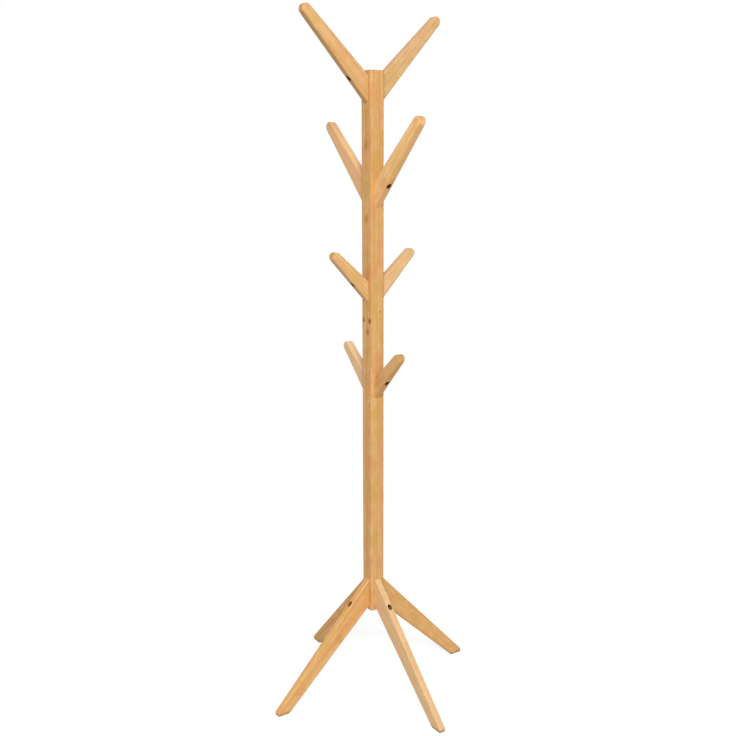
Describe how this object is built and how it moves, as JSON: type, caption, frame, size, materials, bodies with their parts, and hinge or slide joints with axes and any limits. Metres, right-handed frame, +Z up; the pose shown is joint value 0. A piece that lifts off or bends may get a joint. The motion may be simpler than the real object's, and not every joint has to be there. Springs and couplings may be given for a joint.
{
  "type": "standing coat rack",
  "caption": "Free-standing pine coat rack: a square post with tapered arms angled up from its faces at stepped heights, standing on splayed tapered legs.",
  "frame": {"origin": "on the floor, under the post's axis, midway between the feet", "axes": "+Z up along the post; -Y is the front face, which carries the second and fourth arms from the top; +X is the right face, which carries the first and third; units metres"},
  "size_m": [0.608, 0.608, 1.75],
  "materials": {
    "pine_post": "knotty pine, clear satin lacquer",
    "pine_arms": "knotty pine, clear satin lacquer",
    "pine_legs": "knotty pine, clear satin lacquer",
    "dowel_beech": "plain turned beech",
    "bolt_steel": "black oxide",
    "insert_brass": "plain machined brass",
    "stud_steel": "zinc plated"
  },
  "bodies": {
    "root": {"post_lower": "pine_post", "post_middle": "pine_post", "post_upper": "pine_post", "arm_1_left": "pine_arms", "arm_1_right": "pine_arms", "arm_2_front": "pine_arms", "arm_2_back": "pine_arms", "arm_3_left": "pine_arms", "arm_3_right": "pine_arms", "arm_4_front": "pine_arms", "arm_4_back": "pine_arms", "leg_left": "pine_legs", "leg_right": "pine_legs", "leg_front": "pine_legs", "leg_back": "pine_legs", "bolt_arm_1_left": "bolt_steel", "bolt_arm_1_right": "bolt_steel", "bolt_arm_2_front": "bolt_steel", "bolt_arm_2_back": "bolt_steel", "bolt_arm_3_left": "bolt_steel", "bolt_arm_3_right": "bolt_steel", "bolt_arm_4_front": "bolt_steel", "bolt_arm_4_back": "bolt_steel", "bolt_leg_left": "bolt_steel", "bolt_leg_right": "bolt_steel", "bolt_leg_front": "bolt_steel", "bolt_leg_back": "bolt_steel", "insert_arm_1_left": "insert_brass", "insert_arm_1_right": "insert_brass", "insert_arm_2_front": "insert_brass", "insert_arm_2_back": "insert_brass", "insert_arm_3_left": "insert_brass", "insert_arm_3_right": "insert_brass", "insert_arm_4_front": "insert_brass", "insert_arm_4_back": "insert_brass", "insert_leg_left": "insert_brass", "insert_leg_right": "insert_brass", "insert_leg_front": "insert_brass", "insert_leg_back": "insert_brass", "dowel_arm_1_left": "dowel_beech", "dowel_arm_1_right": "dowel_beech", "dowel_arm_2_front": "dowel_beech", "dowel_arm_2_back": "dowel_beech", "dowel_arm_3_left": "dowel_beech", "dowel_arm_3_right": "dowel_beech", "dowel_arm_4_front": "dowel_beech", "dowel_arm_4_back": "dowel_beech", "dowel_leg_left": "dowel_beech", "dowel_leg_right": "dowel_beech", "dowel_leg_front": "dowel_beech", "dowel_leg_back": "dowel_beech", "stud_lower": "stud_steel", "stud_upper": "stud_steel", "stud_insert_lower": "insert_brass", "stud_insert_upper": "insert_brass"}
  },
  "joints": []
}
